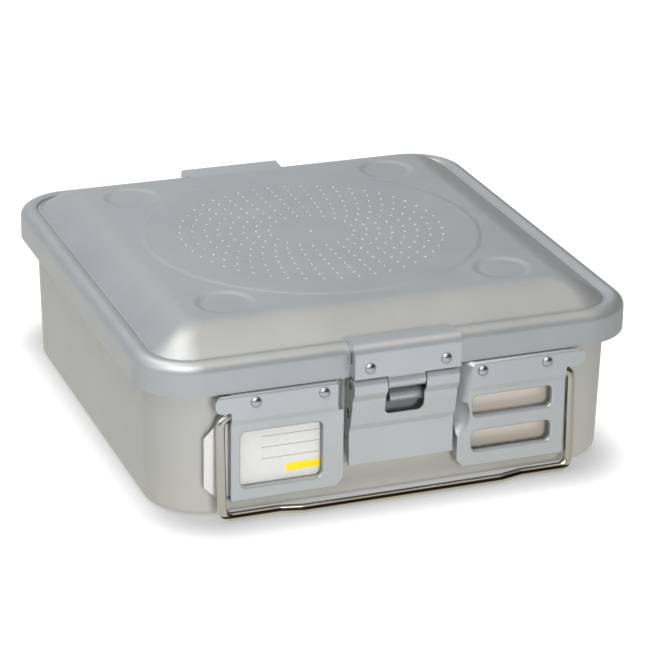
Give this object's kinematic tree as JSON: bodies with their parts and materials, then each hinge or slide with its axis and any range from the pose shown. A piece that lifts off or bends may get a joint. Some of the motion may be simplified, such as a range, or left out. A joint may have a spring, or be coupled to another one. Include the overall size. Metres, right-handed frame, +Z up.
{
  "type": "sterilization container",
  "caption": "Flat anodised aluminium container with a perforated filter lid, latches, folding wire bails and card holders.",
  "frame": {"origin": "on the floor, under the middle of the tub", "axes": "+Z up, front with the card at -Y, +X to the right of a viewer at the front"},
  "size_m": [0.28, 0.3056, 0.1024],
  "materials": {
    "anodised_sheet": "satin anodised",
    "anodised_fitting": "satin anodised",
    "polished_wire": "polished",
    "spring_steel": "drawn",
    "silicone": "matt",
    "paper": "paper"
  },
  "bodies": {
    "base": {"base_tub": "anodised_sheet", "front_catch": "anodised_fitting", "front_label_holder": "anodised_fitting", "front_tag_holder": "anodised_fitting", "front_label_rivet_outer": "polished_wire", "front_label_rivet_inner": "polished_wire", "front_tag_rivet_inner": "polished_wire", "front_tag_rivet_outer": "polished_wire", "front_saddle_left": "anodised_fitting", "front_saddle_right": "anodised_fitting", "front_spacer_left": "anodised_fitting", "front_spacer_right": "anodised_fitting", "rear_catch": "anodised_fitting", "rear_label_holder": "anodised_fitting", "rear_tag_holder": "anodised_fitting", "rear_label_rivet_outer": "polished_wire", "rear_label_rivet_inner": "polished_wire", "rear_tag_rivet_inner": "polished_wire", "rear_tag_rivet_outer": "polished_wire", "rear_saddle_left": "anodised_fitting", "rear_saddle_right": "anodised_fitting", "rear_spacer_left": "anodised_fitting", "rear_spacer_right": "anodised_fitting"},
    "lid": {"lid_shell": "anodised_sheet", "lid_gasket": "silicone", "retainer_stud": "spring_steel", "front_bracket": "anodised_fitting", "front_hinge_block": "anodised_fitting", "front_hinge_pin": "polished_wire", "front_bracket_rivet_left": "polished_wire", "front_bracket_rivet_right": "polished_wire", "rear_bracket": "anodised_fitting", "rear_hinge_block": "anodised_fitting", "rear_hinge_pin": "polished_wire", "rear_bracket_rivet_left": "polished_wire", "rear_bracket_rivet_right": "polished_wire"},
    "front_latch": {"front_latch_plate": "anodised_fitting", "front_latch_spring_left": "spring_steel", "front_latch_spring_right": "spring_steel"},
    "front_snap_pins": {"front_snap_pin_left": "spring_steel", "front_snap_pin_right": "spring_steel"},
    "front_bail": {"front_bail": "polished_wire"},
    "rear_latch": {"rear_latch_plate": "anodised_fitting", "rear_latch_spring_left": "spring_steel", "rear_latch_spring_right": "spring_steel"},
    "rear_snap_pins": {"rear_snap_pin_left": "spring_steel", "rear_snap_pin_right": "spring_steel"},
    "rear_bail": {"rear_bail": "polished_wire"},
    "retainer": {"filter_retainer": "anodised_fitting", "filter_paper": "paper"},
    "knob": {"retainer_knob": "spring_steel"},
    "card": {"label_card": "paper"}
  },
  "joints": [
    {"name": "lid_lift", "type": "slide", "parent": "base", "child": "lid", "axis": [0, 0, 1], "range_m": [0, 0.11]},
    {"name": "front_latch_hinge", "type": "hinge", "parent": "lid", "child": "front_latch", "pos_m": [0, -0.1458, 0.0702], "axis": [-1, 0, 0], "range_deg": [0, 90]},
    {"name": "front_snap_travel", "type": "slide", "parent": "front_latch", "child": "front_snap_pins", "axis": [0, 0, 1], "range_m": [-0.0012, 0], "stiffness_N_per_m": 400, "springref_m": 0.001, "deforming": ["front_latch_spring_left", "front_latch_spring_right"]},
    {"name": "front_bail_hinge", "type": "hinge", "parent": "base", "child": "front_bail", "pos_m": [0, -0.1412, 0.0606], "axis": [-1, 0, 0], "range_deg": [0, 85]},
    {"name": "rear_latch_hinge", "type": "hinge", "parent": "lid", "child": "rear_latch", "pos_m": [0, 0.1458, 0.0702], "axis": [1, 0, 0], "range_deg": [0, 90]},
    {"name": "rear_snap_travel", "type": "slide", "parent": "rear_latch", "child": "rear_snap_pins", "axis": [0, 0, 1], "range_m": [-0.0012, 0], "stiffness_N_per_m": 400, "springref_m": 0.001, "deforming": ["rear_latch_spring_left", "rear_latch_spring_right"]},
    {"name": "rear_bail_hinge", "type": "hinge", "parent": "base", "child": "rear_bail", "pos_m": [0, 0.1412, 0.0606], "axis": [1, 0, 0], "range_deg": [0, 85]},
    {"name": "retainer_drop", "type": "slide", "parent": "lid", "child": "retainer", "axis": [0, 0, 1], "range_m": [-0.022, 0]},
    {"name": "knob_turn", "type": "hinge", "parent": "retainer", "child": "knob", "pos_m": [0, 0, 0.0958], "axis": [0, 0, 1], "range_deg": [0, 90]},
    {"name": "card_slide", "type": "slide", "parent": "base", "child": "card", "axis": [-1, 0, 0], "range_m": [0, 0.072]}
  ]
}
